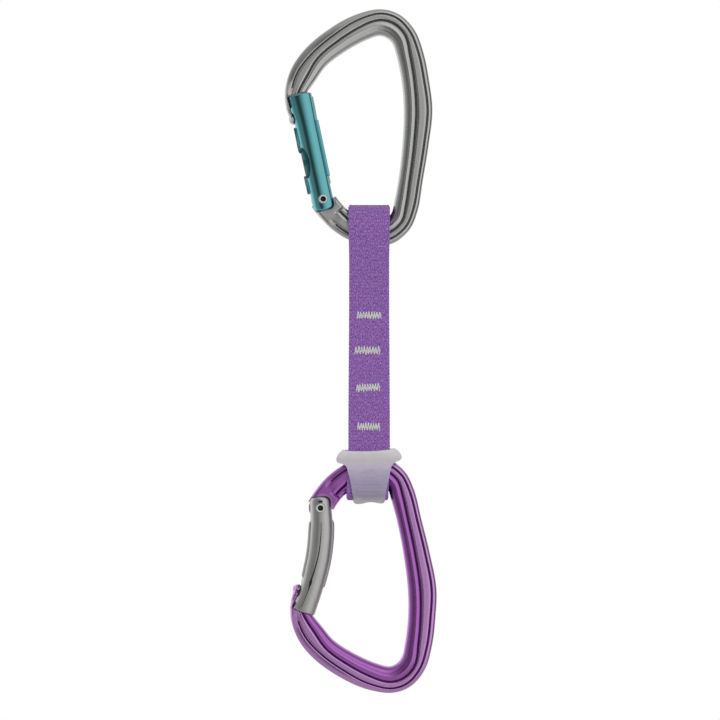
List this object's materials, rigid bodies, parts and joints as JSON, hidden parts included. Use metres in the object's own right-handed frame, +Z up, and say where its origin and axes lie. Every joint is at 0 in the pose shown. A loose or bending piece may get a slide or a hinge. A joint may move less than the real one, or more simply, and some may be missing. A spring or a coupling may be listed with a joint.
{
  "type": "climbing quickdraw",
  "caption": "Climbing quickdraw: a straight-gate and a bent-gate snap carabiner joined by a bartacked webbing sling with a rubber keeper.",
  "frame": {"origin": "the hanger seat: the level facet at the top of the upper carabiner's basket, where the bolt hanger bears", "axes": "+Z up along the hanging draw, from the rope end to the bolt end; +X from the gates towards the spines; +Y towards the back, so a viewer in front looks along +Y"},
  "size_m": [0.0625, 0.0196, 0.281],
  "materials": {
    "grey_frame": "satin anodised light grey",
    "violet_frame": "satin anodised violet",
    "teal_gate": "glossy anodised teal",
    "grey_gate": "satin natural",
    "pin_steel": "bright",
    "spring_wire": "bright drawn wire",
    "webbing": "violet polyamide webbing, fine ribbed weave",
    "thread": "off-white sewing thread",
    "keeper_rubber": "translucent whitish moulded rubber"
  },
  "bodies": {
    "upper_carabiner": {"upper_frame": "grey_frame"},
    "upper_gate": {"upper_gate": "teal_gate", "upper_gate_rivet": "pin_steel", "upper_gate_spring": "spring_wire"},
    "upper_pusher": {"upper_gate_pusher": "pin_steel"},
    "sling_head": {"webbing_top_loop": "webbing"},
    "sling_strap": {"webbing_front_ply": "webbing", "webbing_back_ply": "webbing", "bartack_1_front_thread": "thread", "bartack_1_back_thread": "thread", "bartack_2_front_thread": "thread", "bartack_2_back_thread": "thread", "bartack_3_front_thread": "thread", "bartack_3_back_thread": "thread", "bartack_4_front_thread": "thread", "bartack_4_back_thread": "thread"},
    "sling_foot": {"webbing_bottom_loop": "webbing", "rubber_keeper": "keeper_rubber"},
    "lower_carabiner": {"lower_frame": "violet_frame"},
    "lower_gate": {"lower_gate": "grey_gate", "lower_gate_rivet": "pin_steel", "lower_gate_spring": "spring_wire"},
    "lower_pusher": {"lower_gate_pusher": "pin_steel"}
  },
  "joints": [
    {"name": "upper_gate_hinge", "type": "hinge", "parent": "upper_carabiner", "child": "upper_gate", "pos_m": [-0.0233, 0, -0.0673], "axis": [0, 1, 0], "range_deg": [0, 29], "stiffness_Nm_per_rad": 0.35, "springref_deg": -25.78},
    {"name": "upper_pusher_slide", "type": "slide", "parent": "upper_gate", "child": "upper_pusher", "axis": [-0.2062, 0, 0.9785], "range_m": [0, 0.001], "deforming": ["upper_gate_spring"]},
    {"name": "sling_swing", "type": "hinge", "parent": "upper_carabiner", "child": "sling_head", "pos_m": [-0.00445, 0, -0.07925], "axis": [1, 0, 0], "range_deg": [-100, 100]},
    {"name": "sling_tilt", "type": "hinge", "parent": "sling_head", "child": "sling_strap", "pos_m": [-0.00445, 0, -0.096], "axis": [0, 1, 0], "range_deg": [-11, 11]},
    {"name": "sling_flex", "type": "hinge", "parent": "sling_strap", "child": "sling_foot", "pos_m": [-0.00445, 0, -0.1656], "axis": [1, 0, 0], "range_deg": [-60, 60]},
    {"name": "lower_frame_tilt", "type": "hinge", "parent": "sling_foot", "child": "lower_carabiner", "pos_m": [-0.00365, 0, -0.19748], "axis": [0, 1, 0], "range_deg": [-6, 6], "stiffness_Nm_per_rad": 0.25},
    {"name": "lower_gate_hinge", "type": "hinge", "parent": "lower_carabiner", "child": "lower_gate", "pos_m": [-0.0244, 0, -0.1939], "axis": [0, -1, 0], "range_deg": [0, 29], "stiffness_Nm_per_rad": 0.35, "springref_deg": -25.78},
    {"name": "lower_pusher_slide", "type": "slide", "parent": "lower_gate", "child": "lower_pusher", "axis": [0.0175, 0, -0.9998], "range_m": [0, 0.001], "deforming": ["lower_gate_spring"]}
  ],
  "couplings": [
    {"joint": "upper_pusher_slide", "follows": "upper_gate_hinge", "m_per_rad": 0.0018},
    {"joint": "lower_pusher_slide", "follows": "lower_gate_hinge", "m_per_rad": 0.0018}
  ]
}
